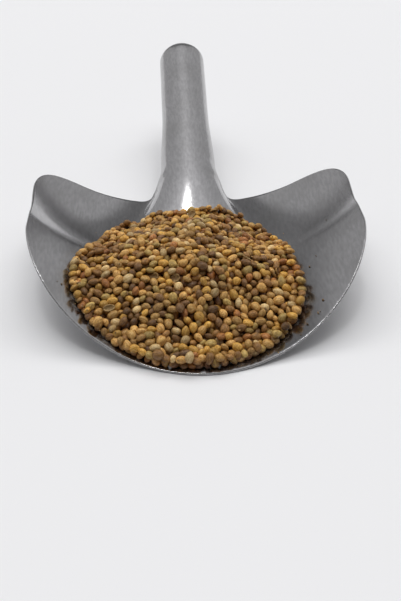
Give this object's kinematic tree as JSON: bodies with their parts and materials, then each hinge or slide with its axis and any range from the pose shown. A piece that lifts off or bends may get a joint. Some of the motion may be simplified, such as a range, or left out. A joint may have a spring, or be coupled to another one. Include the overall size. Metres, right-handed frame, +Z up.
{
  "type": "scoop of hemp seeds",
  "caption": "Pressed steel hand scoop with a rolled trough pan and a tubular handle, holding a heap of whole hemp seeds.",
  "frame": {"origin": "middle of the scoop's footprint, on the surface it stands on", "axes": "+X across the pan to the right seen from the lip, +Y from the lip towards the handle, +Z up"},
  "size_m": [0.1452, 0.2316, 0.0521],
  "materials": {
    "steel": "worn satin stainless steel with fine scratches and a little seed dust",
    "seed_coat": "smooth dry hulls with a soft sheen, mixed tan, ochre, brown and grey-green"
  },
  "bodies": {
    "root": {"scoop": "steel", "hemp_seeds": "seed_coat"}
  },
  "joints": []
}
